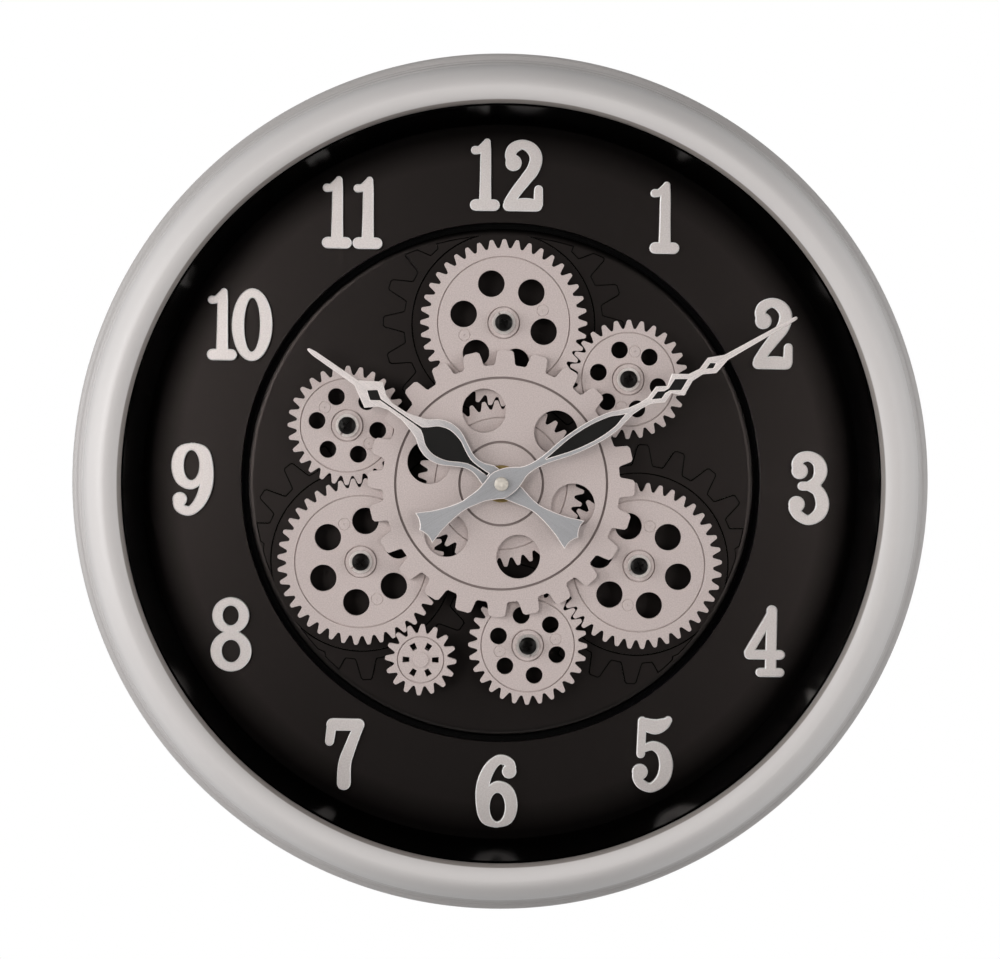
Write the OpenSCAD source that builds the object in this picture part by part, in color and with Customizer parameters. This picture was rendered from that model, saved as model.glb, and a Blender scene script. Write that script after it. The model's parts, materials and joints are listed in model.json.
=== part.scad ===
// Round wall clock with an open train of display gears in front of a black dial.
// The clock hangs on a wall: the wall is the plane y = 0, the face looks along -y, z is up.
// Each piece is drawn in dial coordinates (x right, y up, z away from the wall) and stood up.

/* [Gear train] */
// Module of the display gears, pitch diameter over teeth
tooth_module = 2.1; // [1.7:0.05:2.6]
// Extra centre distance between meshing display gears
mesh_clearance = 1; // [0.6:0.1:1.4]
// Extra centre distance between the driving pinion and its gear
pinion_clearance = 2.1; // [1.4:0.1:2.6]
// Thickness of a display gear
gear_thickness = 3; // [2:0.25:4]
// Radius of the raised boss round a gear's axis
boss_r = 8; // [7:0.5:9]
// Height of that boss above the gear's face
boss_height = 1; // [0.5:0.1:1.4]
// Radius of the post that a gear turns on
post_r = 4; // [3:0.25:4.5]
// Radius of the sleeve that the centre gears turn on
sleeve_r = 6; // [5.4:0.1:7]
// Tip radius of the coarse centre gear
coarse_tip_r = 70.5; // [66:0.5:73]
// Tooth height of the coarse centre gear
coarse_tooth_height = 7.8; // [5:0.2:9]
// Radius of the coarse gear's six round holes
coarse_hole_r = 11.6; // [8:0.2:13]
// Radius on which the coarse gear's holes lie
coarse_hole_ring_r = 39.6; // [36:0.4:43]
// Radius of the six holes of a large gear
planet_hole_r = 7.05; // [4:0.25:8]
// Radius of the six holes of a small gear
small_hole_r = 4.5; // [3:0.25:5]
// Width of the fine ring line on a gear's face
line_width = 0.6; // [0.4:0.05:0.9]
// Depth of the fine ring line
line_depth = 0.9; // [0.2:0.1:1.2]

/* [Dial] */
// Height of the numerals
numeral_height = 38.5; // [32:0.5:46]
// Thickness of the numerals
numeral_thickness = 3; // [2:0.5:5]
// Free margin inside and outside the ring of numerals
numeral_margin = 6.9; // [5:0.1:9]
// Free margin between the large gears and the edge of the centre disc
disc_margin = 6.9; // [5:0.1:9]
// Width of the black groove round the centre disc
groove_width = 2.9; // [1.5:0.1:4]
// Thickness of the ring that carries the numerals
dial_ring_thickness = 5; // [3:0.5:7]
// How far the centre disc lies below the numeral ring
disc_drop = 0.7; // [0.3:0.1:1.2]
// Height of the gear pattern embossed on the centre disc
relief_height = 0.8; // [0.3:0.1:1.2]
// Radius of the round field in each embossed gear
relief_field_r = 48.6; // [46:0.2:51]
// Tip radius of an embossed gear
relief_tip_r = 64.5; // [60:0.5:68]
// Tooth height of an embossed gear
relief_tooth_height = 11; // [8:0.5:13]

/* [Case] */
// Height of the rim's crown above the glass
rim_rise = 7.5; // [5:0.5:14]
// Distance from the wall to the back of the board
board_back = 22; // [21:0.5:27]
// Thickness of the board behind the dial
board_thickness = 5; // [4:0.5:7]
// Height of the dial edge's black wall, dial to the glass retainer
drum_depth = 34.2; // [33:0.2:44]
// How much wider the black wall is at the glass than at the dial
drum_flare = 6; // [2:0.2:8]
// Sheet thickness of the black wall
drum_thickness = 1; // [0.8:0.1:1.4]
// Thickness of the glass
glass_thickness = 2.5; // [2:0.25:3.5]
// Width of glass that the rim covers
glass_cover = 6.6; // [5:0.2:8]
// Sheet thickness of the rim
rim_sheet = 1.2; // [0.8:0.1:1.6]
// Width of the rim's rounded face, lip to its outer foot
rim_face_width = 23.3; // [21.5:0.3:29]
// Height of the rim's rounded face over its outer foot
rim_face_height = 32; // [28:1:38]
// Width of the step between the face and the bead
rim_step_width = 4.9; // [4:0.1:7]
// Radius of the bead round the back of the rim
rim_bead_r = 4; // [2.5:0.25:5]

/* [Hands] */
// Length of the minute hand from its axis
minute_length = 178; // [160:1:183]
// Length of the hour hand from its axis
hour_length = 124; // [105:1:140]
// Length of the fish tail of a hand
tail_length = 46.5; // [38:0.5:52]
// Thickness of a hand
hand_thickness = 0.8; // [0.5:0.1:1.2]
// Radius of the cap that holds the minute hand
hand_cap_r = 3.7; // [3:0.1:5]
// Distance between the faces of the two hands
hand_step = 3; // [2.4:0.1:3.6]

/* [Movement] */
// Side of the square quartz movement
movement_side = 56; // [54:1:64]
// Depth of the movement
movement_depth = 16; // [15.5:0.25:18]
// Wall of the movement and drive cases
unit_wall = 1.2; // [1:0.1:1.6]
// Radius of the threaded stem
stem_r = 4; // [3.7:0.1:4.6]
// Radius of the hour tube
hour_tube_r = 2.5; // [2.3:0.05:2.9]
// Radius of the minute shaft
minute_shaft_r = 1.2; // [1:0.05:1.5]
// Radius of a battery cell
cell_r = 7.1; // [6.8:0.05:7.2]
// Length of a battery cell
cell_length = 50; // [46:0.5:50.5]
// Module of the small wheels inside the movement and the drive
wheel_module = 0.5; // [0.42:0.01:0.54]
// Radius of the setting knob
knob_r = 6; // [4:0.5:7]

/* [Gear drive] */
// Width of the drive case
drive_width = 64; // [62:1:76]
// Height of the drive case
drive_height = 46; // [45:1:54]
// Depth of the drive case
drive_depth = 17; // [16.5:0.25:18]
// Radius of the flat motor
motor_r = 9.5; // [8:0.25:9.75]
// Radius of the output shaft
drive_shaft_r = 2; // [1.6:0.1:2.4]
// Travel of the switch
switch_travel = 3; // [2:0.5:4]

/* [Hanger] */
// Radius of the round part of the keyhole
keyhole_r = 5; // [4:0.25:6]
// Width of the keyhole's slot
keyhole_slot = 4.8; // [3.5:0.1:5.6]
// Height of the keyhole above the centre of the clock
keyhole_height = 162; // [150:1:170]
// Width of the hanger plate
hanger_width = 60; // [44:2:80]
// Sheet thickness of the hanger
hanger_sheet = 1.2; // [1:0.1:1.6]

/* [Hidden] */
$fn = 72;

// Overrun of cuts past a face
cut = 0.5;
// Corners of the ovals in the numerals, and steps between two points of a stroke
ring_points = 40;
ball_points = 24;
stroke_steps = 5;
// Radial clearance of a part that turns on another
run_clearance = 0.05;
// Clearance between parts that are only set together
seat_clearance = 0.3;
// Gap between neighbouring gear faces
face_gap = 1;

// Teeth of the display gears
large_teeth = 40;
small_teeth = 28;
pinion_teeth = 16;
coarse_teeth = 24;
relief_teeth = 20;

// Height shares in modules and half thicknesses in shares of the tooth spacing, foot to tip
fine_tooth_shares = [[-1.2, 0.42], [-0.95, 0.36], [0, 0.235], [0.65, 0.17], [1, 0.095]];
// The same for the coarse gear and the embossed gears, with heights in shares of the tooth height
coarse_tooth_shares = [[0, 0.36], [0.12, 0.31], [0.55, 0.27], [0.88, 0.235], [1, 0.16]];
relief_tooth_shares = [[0, 0.36], [0.08, 0.325], [0.9, 0.165], [1, 0.11]];

// Directions of the three large gears from the centre, and of the small gear on each
planet_angles = [90, -30, 210];
small_swing = -113.5;
pinion_angle = -57.8;
centre_gear_angle = 4.1;
coarse_gear_angle = 44;
// Whole teeth that each gear is turned by, which places its holes
planet_turns = [13, 6, 17];
small_turns = [0, 12, 27];
// Share of a tooth spacing that the pinion trails by, in the play of its wider mesh
pinion_lag_share = -0.1;
relief_angles = [17.7, 15.9, 3.1];
washer_split_angles = [116, 206, 216, -12, -74, 237];

large_pitch_r = tooth_module * large_teeth / 2;
small_pitch_r = tooth_module * small_teeth / 2;
pinion_pitch_r = tooth_module * pinion_teeth / 2;
planet_distance = 2 * large_pitch_r + mesh_clearance;
small_distance = large_pitch_r + small_pitch_r + mesh_clearance;
pinion_distance = large_pitch_r + pinion_pitch_r + pinion_clearance;
planet_places = [for (a = planet_angles) polar(planet_distance, a)];
small_places = [for (i = [0:2])
    planet_places[i] + polar(small_distance, planet_angles[i] + small_swing)];
pinion_place = planet_places[2] + polar(pinion_distance, pinion_angle);
gear_places = concat(planet_places, small_places);
planet_tooth_angles = [for (i = [0:2]) mesh_angle(centre_gear_angle, large_teeth, large_teeth,
    planet_angles[i], 0) + planet_turns[i] * 360 / large_teeth];
small_tooth_angles = [for (i = [0:2]) mesh_angle(planet_tooth_angles[i], large_teeth, small_teeth,
    planet_angles[i] + small_swing, 0) + small_turns[i] * 360 / small_teeth];
pinion_tooth_angle = mesh_angle(planet_tooth_angles[2], large_teeth, pinion_teeth, pinion_angle,
    pinion_lag_share);

// Heights over the wall
board_face = board_back + board_thickness;
dial_face = board_face + dial_ring_thickness;
disc_face = dial_face - disc_drop;
post_flange_height = 2;
post_flange_r = boss_r - 1.5 * line_width;
hub_gap = 0.5;
gear_lift = 13;
gear_back = dial_face + gear_lift;
gear_face = gear_back + gear_thickness;
coarse_back = gear_face + face_gap;
coarse_thickness = gear_thickness;
coarse_face = coarse_back + coarse_thickness;
sleeve_top = coarse_face + seat_clearance;
centre_washer_thickness = 1;
centre_nut_thickness = 2.5;
stem_top = sleeve_top + centre_washer_thickness + centre_nut_thickness;
hour_hand_back = stem_top + 1.4 * face_gap;
minute_hand_back = hour_hand_back + hand_step;
hand_cap_thickness = 2;
wall_top = dial_face + drum_depth;
retainer_thickness = 1.8;
glass_back = wall_top + retainer_thickness;
glass_face = glass_back + glass_thickness;
case_depth = glass_face + rim_rise;

// Radii of the dial and case
disc_r = planet_distance + large_pitch_r + tooth_module + disc_margin;
disc_round = 3.4;
disc_round_height = 2;
numeral_ring_r = disc_r + groove_width;
dial_r = numeral_ring_r + numeral_height + 2 * numeral_margin;
numeral_circle_r = (numeral_ring_r + dial_r) / 2;
edge_chamfer = 0.4;
retainer_r = dial_r + drum_flare;
lip_r = retainer_r + drum_thickness - rim_sheet / 3;
glass_r = lip_r + glass_cover;
rim_crown_offset = 8.2;
crown_r = lip_r + rim_crown_offset;
rim_foot_r = lip_r + rim_face_width;
rim_foot_height = case_depth - rim_face_height;
rim_ledge = 2.5;
rim_step_r = rim_foot_r + rim_ledge;
clock_r = rim_foot_r + rim_step_width + rim_bead_r;
rim_bead_top = board_face - rim_bead_r / 2;
rim_outer_power = 1.7;
rim_inner_power = 2;
board_r = clock_r - rim_sheet - seat_clearance;

// Hubs, screws and washers of the display gears
ring_line_share = 0.81;
planet_hole_share = 0.516;
small_hole_share = 0.553;
rivet_share = 0.516;
rivet_r = 3;
rivet_line = 0.45;
rivet_depth = 0.3;
hub_r = boss_r - 2.25 * line_width;
screw_head_r = 4.6;
screw_head_height = 2.2;
screw_shank_r = 1.45;
screw_hole_depth = 11;
screw_length = 9;
screw_slot_length = 4.8;
screw_slot_width = 1.2;
screw_slot_depth = 1.3;
washer_thickness = 1.2;
washer_r = 6.1;
washer_split = 1;
post_top = gear_face + boss_height + seat_clearance;
pinion_boss_r = 4;
pinion_boss_height = 0.6;
pinion_window_inner_share = 0.315;
pinion_window_outer_share = 0.505;
pinion_window_width_share = 0.13;
pinion_line_share = 0.73;

// Movement and drive, seen from the front with the hand axis at the origin
movement_drop = 6;
cell_clearance = 0.3;
unit_floor = board_back - unit_wall;
movement_back = board_back - movement_depth;
movement_low = -movement_side / 2 - movement_drop;
movement_high = movement_side / 2 - movement_drop;
cell_height = unit_floor - cell_r - run_clearance;
cell_pocket_width = 2 * (cell_r + cell_clearance);
movement_cell_y = movement_low + unit_wall + cell_pocket_width / 2;
contact_sheet = 0.5;
contact_width = 9;
contact_cone_r = 4;
contact_cone_tip_r = 2;
stem_flange_r = 6.5;
stem_flange_height = 1.2;
washer_flat_r = 9.8;
nut_across_r = 7.4;
cannon_teeth = 12;
motion_teeth = 36;
motion_pinion_teeth = 10;
hour_wheel_teeth = 40;
wheel_play = 0.2;
wheel_thickness = 2;
wheel_tooth_shares = [[-1.15, 0.33], [0, 0.225], [0.9, 0.1]];
motion_distance = wheel_module * (cannon_teeth + motion_teeth) / 2 + wheel_play;
hour_module = 2 * (motion_distance - wheel_play) / (motion_pinion_teeth + hour_wheel_teeth);
motion_angle = 35;
knob_angle = -20;
motion_place = polar(motion_distance, motion_angle);
knob_place = motion_place + polar(motion_distance, knob_angle);
cannon_tooth_angle = 0;
motion_tooth_angle = mesh_angle(cannon_tooth_angle, cannon_teeth, motion_teeth, motion_angle, 0);
knob_tooth_angle = mesh_angle(motion_tooth_angle, motion_teeth, cannon_teeth, knob_angle, 0);
hour_tooth_angle = mesh_angle(motion_tooth_angle, motion_pinion_teeth, hour_wheel_teeth,
    motion_angle + 180, 0);
wheel_back = movement_back + 3;
hour_wheel_back = wheel_back + wheel_thickness + seat_clearance;
arbor_r = 1;
knob_thickness = 2.5;
knob_shaft_r = 1.5;
knob_grip_r = 0.6;
knob_grips = 18;
circuit_width = 12;
circuit_height = 30;
circuit_thickness = 1;
circuit_x = -20;
circuit_y = 0;
coil_r = 3;
coil_length = 18;

drive_back = board_back - drive_depth;
drive_left = pinion_place[0] - drive_width / 4;
drive_high = pinion_place[1] + drive_height / 2 - cell_r - 2 * unit_wall;
drive_low = drive_high - drive_height;
drive_cell_y = drive_low + unit_wall + cell_pocket_width / 2;
drive_cell_x = drive_left + drive_width / 2;
motor_teeth = 10;
drive_wheel_teeth = 30;
drive_wheel_module = 1.2 * wheel_module;
motor_distance = drive_wheel_module * (motor_teeth + drive_wheel_teeth) / 2 + wheel_play;
motor_place = pinion_place + [motor_distance, 0];
motor_tooth_angle = mesh_angle(0, drive_wheel_teeth, motor_teeth, 0, 0);
motor_height = 6;
motor_back = drive_back + unit_wall;
drive_wheel_back = motor_back + motor_height + face_gap;
motor_shaft_r = 0.75;
switch_place = [drive_left + drive_width - 14 * unit_wall, pinion_place[1]];
switch_slot_length = 9;
switch_slot_width = 3.4;
switch_grip_length = 3.6;
switch_base_length = 13;
switch_base_width = 6;
switch_base_height = 2;

bracket_width = 14;
bracket_reach = 16;
bracket_height = 12;
bracket_sheet = 1.2;
bracket_angles = [30:60:330];
case_screw_r = 1.5;
case_screw_head_r = 3.2;
case_screw_head_height = 1.6;
case_screw_length = 4;
keyhole_travel = 9;
hanger_height = 30;
hanger_stand = 3;
hanger_foot = 12;
bracket_screw_r = clock_r - rim_sheet - bracket_reach * 0.6;
hanger_screws = [for (s = [-1, 1])
    [s * (hanger_width / 2 + hanger_foot / 2), keyhole_height + keyhole_r]];

silver = [0.74, 0.73, 0.72];
gear_silver = [0.70, 0.66, 0.65];
steel = [0.78, 0.79, 0.80];
black = [0.09, 0.09, 0.09];
brass = [0.72, 0.60, 0.30];

// Shared shapes

function polar(r, a) = [r * cos(a), r * sin(a)];

// Angle of a tooth of the second gear that meshes with the first gear along the given direction
function mesh_angle(first_angle, first_teeth, second_teeth, direction, lag_share) =
    direction + 180 - (0.5 + lag_share - (direction - first_angle) * first_teeth / 360)
    * 360 / second_teeth;

// Outline of a gear with its first tooth at angle 0, from [height, half thickness] pairs
function gear_outline(teeth, base_r, height, shares) = [for (k = [0:teeth - 1])
    each concat(
        [for (s = shares) polar(base_r + height * s[0], (k - s[1]) * 360 / teeth)],
        [for (i = [len(shares) - 1:-1:0])
            polar(base_r + height * shares[i][0], (k + shares[i][1]) * 360 / teeth)])];

// Catmull-Rom curve through the points of a list
function curve(p, steps) = [for (i = [0:len(p) - 2], k = [0:steps - 1])
        curve_point(p[max(i - 1, 0)], p[i], p[i + 1], p[min(i + 2, len(p) - 1)], k / steps),
    p[len(p) - 1]];

function curve_point(a, b, c, d, t) =
    0.5 * (2 * b + (c - a) * t + (2 * a - 5 * b + 4 * c - d) * t * t
    + (3 * b - a - 3 * c + d) * t * t * t);

function heading(p, i) = let (d = p[min(i + 1, len(p) - 1)] - p[max(i - 1, 0)]) atan2(d[1], d[0]);

// Outline of a stroke with round ends through points [x, y, half width]
function stroke_outline(p) = let (last = len(p) - 1, turns = 8) concat(
    [for (i = [0:last]) [p[i][0], p[i][1]] + polar(p[i][2], heading(p, i) - 90)],
    [for (k = [1:turns - 1])
        [p[last][0], p[last][1]] + polar(p[last][2], heading(p, last) - 90 + k * 180 / turns)],
    [for (i = [last:-1:0]) [p[i][0], p[i][1]] + polar(p[i][2], heading(p, i) + 90)],
    [for (k = [1:turns - 1])
        [p[0][0], p[0][1]] + polar(p[0][2], heading(p, 0) + 90 + k * 180 / turns)]);

function oval(x, y, rx, ry, points) =
    [for (k = [0:points - 1]) [x + rx * cos(k * 360 / points), y + ry * sin(k * 360 / points)]];

// Outline of a plate that is the same on both sides of its long axis
function mirrored(p) = concat(p, [for (i = [len(p) - 1:-1:0]) [p[i][0], -p[i][1]]]);

module stand_up() {
    rotate([90, 0, 0]) children();
}

module disc(r, from, to) {
    translate([0, 0, from]) cylinder(r = r, h = to - from);
}

module tube(r_out, r_in, from, to) {
    difference() {
        disc(r_out, from, to);
        disc(r_in, from - cut, to + cut);
    }
}

module box(low, high) {
    translate(low) cube(high - low);
}

module plate(from, to) {
    translate([0, 0, from]) linear_extrude(to - from) children();
}

module ring_line(r, face, width, depth) {
    difference() {
        disc(r + width / 2, face - depth, face + cut);
        disc(r - width / 2, face - depth - cut, face + 2 * cut);
    }
}

// Case

function power_arc(centre_r, centre_z, width, height, power, from, to, points) =
    [for (k = [0:points]) let (a = from + (to - from) * k / points)
        [centre_r + width * sign(cos(a)) * pow(abs(cos(a)), 2 / power),
         centre_z + height * pow(abs(sin(a)), 2 / power)]];

module rim() {
    inner_height = case_depth - glass_face;
    back_r = clock_r - rim_sheet;
    stand_up() color(silver) rotate_extrude() polygon(concat(
        [[back_r, 0], [clock_r, 0]],
        power_arc(clock_r - rim_bead_r, rim_bead_top, rim_bead_r, rim_bead_r, 2, 0, 90, 6),
        [[rim_step_r, rim_foot_height - rim_step_width],
         [rim_step_r, rim_foot_height - rim_ledge],
         [rim_step_r - edge_chamfer, rim_foot_height - rim_ledge + edge_chamfer],
         [rim_foot_r + edge_chamfer, rim_foot_height - edge_chamfer]],
        power_arc(crown_r, rim_foot_height, rim_foot_r - crown_r, rim_face_height,
            rim_outer_power, 0, 90, 14),
        power_arc(crown_r, glass_face + edge_chamfer, crown_r - lip_r, inner_height - edge_chamfer,
            rim_inner_power, 97, 180, 8),
        [[lip_r, glass_face], [glass_r + seat_clearance, glass_face]],
        [[glass_r + seat_clearance, wall_top],
         [rim_foot_r - 2 * rim_sheet, rim_foot_height],
         [rim_foot_r - rim_sheet, rim_foot_height - rim_step_width],
         [clock_r - rim_bead_r - rim_sheet, board_face],
         [back_r, board_face]]));
}

module glass() {
    stand_up() color([0.85, 0.9, 0.9, 0.25]) disc(glass_r, glass_back, glass_face);
}

module glass_retainer() {
    stand_up() color(black) tube(glass_r, retainer_r, wall_top, glass_back);
}

module inner_wall() {
    stand_up() color(black) rotate_extrude() polygon([
        [dial_r, board_face],
        [dial_r + drum_thickness, board_face],
        [dial_r + drum_thickness, dial_face],
        [retainer_r + drum_thickness, wall_top],
        [retainer_r, wall_top],
        [dial_r, dial_face]]);
}

module dial_board() {
    stand_up() color(black) difference() {
        disc(board_r, board_back, board_face);
        disc(stem_r + run_clearance, board_back - cut, board_face + cut);
        translate(pinion_place) disc(drive_shaft_r + seat_clearance, board_back - cut, board_face + cut);
        for (p = case_screw_places())
            translate(p) disc(case_screw_r, board_back - cut, board_back + case_screw_length);
    }
}

module numeral_ring() {
    stand_up() color(black) difference() {
        disc(dial_r - run_clearance, board_face, dial_face);
        disc(numeral_ring_r, board_face - cut, dial_face + cut);
        translate([0, 0, dial_face - edge_chamfer])
            cylinder(r1 = numeral_ring_r, r2 = numeral_ring_r + 2 * edge_chamfer, h = 2 * edge_chamfer);
    }
}

module centre_disc() {
    stand_up() color(black) difference() {
        union() {
            rotate_extrude() polygon(concat([[0, board_face], [disc_r, board_face]],
                power_arc(disc_r - disc_round, disc_face - disc_round_height, disc_round,
                    disc_round_height, 2, 0, 90, 6),
                [[0, disc_face]]));
            difference() {
                intersection() {
                    plate(disc_face, disc_face + relief_height) union() {
                        for (i = [0:2])
                            translate(planet_places[i]) rotate(relief_angles[i]) polygon(gear_outline(
                                relief_teeth, relief_tip_r - relief_tooth_height,
                                relief_tooth_height, relief_tooth_shares));
                    }
                    disc(disc_r - disc_round, disc_face - cut, disc_face + relief_height + cut);
                }
                for (p = planet_places)
                    translate(p) disc(relief_field_r, disc_face - cut, disc_face + relief_height + cut);
            }
        }
        disc(stem_r + run_clearance, board_face - cut, dial_face + cut);
        translate(pinion_place) disc(drive_shaft_r + seat_clearance, board_face - cut, dial_face + cut);
    }
}

// Numerals, drawn as round-ended strokes in shares of the numeral height

stem_1_shares = [[0.015, 0.95, 0.05], [0, 0.8, 0.073], [0, 0.45, 0.077], [0, 0.12, 0.084]];
foot_1_shares = [[-0.13, 0.08, 0.08], [0.125, 0.08, 0.08]];
flag_1_shares = [[-0.15, 0.837, 0.058], [-0.09, 0.843, 0.054], [-0.035, 0.885, 0.056], [0.01, 0.94, 0.05]];
neck_2_shares = [[-0.205, 0.71, 0.045], [-0.19, 0.775, 0.073], [-0.143, 0.872, 0.077],
    [-0.017, 0.925, 0.067], [0.11, 0.865, 0.082], [0.17, 0.745, 0.088], [0.133, 0.585, 0.088],
    [0.025, 0.435, 0.082], [-0.1, 0.27, 0.076], [-0.195, 0.12, 0.074]];
foot_2_shares = [[-0.2, 0.08, 0.078], [0.02, 0.093, 0.092], [0.185, 0.085, 0.084]];
tail_2_shares = [[0.213, 0.305, 0.061], [0.21, 0.1, 0.066]];
neck_3_shares = [[-0.19, 0.76, 0.05], [-0.175, 0.83, 0.075], [-0.12, 0.912, 0.075], [0, 0.935, 0.073],
    [0.117, 0.865, 0.085], [0.157, 0.735, 0.094], [0.11, 0.6, 0.08], [0, 0.53, 0.06]];
bar_3_shares = [[-0.097, 0.522, 0.063], [0.11, 0.522, 0.063]];
belly_3_shares = [[0, 0.515, 0.06], [0.13, 0.45, 0.083], [0.19, 0.28, 0.094], [0.14, 0.13, 0.088],
    [0, 0.05, 0.071], [-0.135, 0.11, 0.073], [-0.205, 0.21, 0.075], [-0.225, 0.265, 0.05]];
slope_4_shares = [[0.085, 0.92, 0.062], [-0.245, 0.335, 0.062]];
stem_4_shares = [[0.07, 0.925, 0.075], [0.066, 0.12, 0.078]];
bar_4_shares = [[-0.235, 0.31, 0.068], [0.195, 0.31, 0.068]];
foot_4_shares = [[-0.08, 0.063, 0.063], [0.197, 0.063, 0.063]];
stem_5_shares = [[-0.15, 0.95, 0.06], [-0.165, 0.49, 0.06]];
flag_5_shares = [[-0.12, 0.905, 0.09], [0.035, 0.87, 0.105], [0.155, 0.915, 0.083], [0.21, 0.965, 0.055]];
belly_5_shares = [[-0.13, 0.56, 0.05], [0.005, 0.605, 0.066], [0.142, 0.52, 0.088],
    [0.192, 0.33, 0.096], [0.142, 0.137, 0.09], [-0.01, 0.022, 0.066], [-0.15, 0.068, 0.068],
    [-0.215, 0.16, 0.062], [-0.235, 0.225, 0.04]];
back_6_shares = [[0.215, 0.83, 0.045], [0.18, 0.875, 0.065], [0.105, 0.925, 0.068], [0, 0.925, 0.068],
    [-0.12, 0.795, 0.082], [-0.2, 0.57, 0.09], [-0.2, 0.3, 0.09], [-0.14, 0.115, 0.088], [0.01, 0.05, 0.062]];
belly_6_shares = [[-0.02, 0.05, 0.062], [0.14, 0.115, 0.088], [0.19, 0.3, 0.098], [0.145, 0.49, 0.088],
    [0.02, 0.575, 0.063], [-0.08, 0.53, 0.055], [-0.17, 0.42, 0.055]];
top_7_shares = [[-0.16, 0.915, 0.085], [0.2, 0.915, 0.085]];
drop_7_shares = [[-0.17, 0.9, 0.068], [-0.197, 0.68, 0.063]];
stem_7_shares = [[0.21, 0.91, 0.07], [0.105, 0.64, 0.08], [0.02, 0.38, 0.09], [0.01, 0.1, 0.097]];
ball_share = 0.113;

// Each digit is a list of strokes, a list of balls [x, y, r], and a list of rings
// [x, y, outer half width, outer half height, inner half width, inner half height]
function digit_strokes(d) =
    d == 1 ? [stem_1_shares, foot_1_shares, flag_1_shares] :
    d == 2 ? [neck_2_shares, foot_2_shares, tail_2_shares] :
    d == 3 ? [neck_3_shares, bar_3_shares, belly_3_shares] :
    d == 4 ? [slope_4_shares, stem_4_shares, bar_4_shares, foot_4_shares] :
    d == 5 ? [stem_5_shares, flag_5_shares, belly_5_shares] :
    d == 6 || d == 9 ? [back_6_shares, belly_6_shares] :
    d == 7 ? [top_7_shares, drop_7_shares, stem_7_shares] : [];

function digit_ball_shares(d) =
    d == 2 ? [[-0.14, 0.67, ball_share]] :
    d == 3 ? [[-0.135, 0.73, ball_share], [-0.17, 0.27, ball_share]] :
    d == 5 ? [[-0.172, 0.24, 0.11]] :
    d == 6 || d == 9 ? [[0.165, 0.775, 0.1]] : [];

function digit_ring_shares(d) =
    d == 8 ? [[-0.01, 0.745, 0.257, 0.255, 0.112, 0.137], [0, 0.25, 0.285, 0.285, 0.13, 0.155]] :
    d == 6 ? [[0.008, 0.271, 0.2, 0.26, 0.107, 0.202]] :
    d == 9 ? [[0.008, 0.3, 0.2, 0.26, 0.109, 0.207]] :
    d == 0 ? [[0, 0.5, 0.28, 0.505, 0.11, 0.372]] : [];

function digit_outlines(d) = concat(
    [for (s = digit_strokes(d)) stroke_outline(len(s) > 2 ? curve(s, stroke_steps) : s)],
    [for (b = digit_ball_shares(d)) oval(b[0], b[1], b[2], b[2], ball_points)],
    [for (r = digit_ring_shares(d)) oval(r[0], r[1], r[2], r[3], ring_points)]);

module digit(d) {
    h = numeral_height;
    turn = d == 9 ? 180 : 0;
    translate([0, h / 2]) rotate(turn) translate([0, -h / 2]) difference() {
        union() {
            for (outline = digit_outlines(d))
                polygon(h * outline);
        }
        for (r = digit_ring_shares(d))
            polygon(h * oval(r[0], r[1], r[4], r[5], ring_points));
    }
}

// Digits of each numeral and their places along the line, in shares of the numeral height
function numeral_digits(n) = n < 10 ? [n] : [1, n - 10];
function numeral_place_shares(n) =
    n == 10 ? [-0.18, 0.23] : n == 11 ? [-0.18, 0.245] : n == 12 ? [-0.28, 0.245] : [0];
// Shift of each numeral from its place on the circle, in shares of the numeral height
numeral_shift_shares = [[0.075, 0], [0.036, -0.008], [0, 0], [0.017, 0], [0.028, -0.02], [0.014, 0],
    [0.014, -0.097], [0, 0], [0, -0.02], [0, -0.005], [0, 0], [0, -0.02]];

module numeral(n) {
    digits = numeral_digits(n);
    places = numeral_height * numeral_place_shares(n);
    stand_up() color(silver)
        translate(polar(numeral_circle_r, 90 - 30 * n))
            translate(numeral_height * (numeral_shift_shares[n - 1] - [0, 0.5]))
                plate(dial_face, dial_face + numeral_thickness)
                    for (i = [0:len(digits) - 1])
                        translate([places[i], 0]) digit(digits[i]);
}

// Display gears

module fine_gear_blank(teeth) {
    pitch_r = tooth_module * teeth / 2;
    plate(gear_back, gear_face)
        polygon(gear_outline(teeth, pitch_r, tooth_module, fine_tooth_shares));
}

module gear_face_details(pitch_r, hole_r, hole_share) {
    for (k = [0:5])
        rotate(60 * k) translate([hole_share * pitch_r, 0])
            disc(hole_r, gear_back - cut, gear_face + cut);
    ring_line(pitch_r * ring_line_share + 1.5 * line_width, gear_face, line_width, line_depth);
    for (side = [90, 270])
        rotate(side) translate([rivet_share * pitch_r, 0]) {
            ring_line(rivet_r, gear_face, rivet_line, rivet_depth);
            disc(rivet_line, gear_face - rivet_depth, gear_face + cut);
        }
}

// Gear on its post: blank, hub behind it and boss in front
module posted_gear(teeth, hole_r, hole_share, place, angle) {
    pitch_r = tooth_module * teeth / 2;
    stand_up() color(gear_silver) translate(place) rotate(angle) difference() {
        union() {
            fine_gear_blank(teeth);
            disc(hub_r, disc_face + post_flange_height + hub_gap, gear_back);
            disc(boss_r, gear_face, gear_face + boss_height);
        }
        gear_face_details(pitch_r, hole_r, hole_share);
        ring_line(boss_r + line_width / 2, gear_face, line_width, line_depth);
        disc(post_r + run_clearance, disc_face, post_top + cut);
    }
}

module centre_gear() {
    stand_up() color(gear_silver) rotate(centre_gear_angle) difference() {
        union() {
            fine_gear_blank(large_teeth);
            disc(sleeve_r + hub_r - post_r, disc_face + post_flange_height + hub_gap, gear_back);
        }
        gear_face_details(large_pitch_r, planet_hole_r, planet_hole_share);
        disc(sleeve_r + run_clearance, disc_face, gear_face + cut);
    }
}

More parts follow.
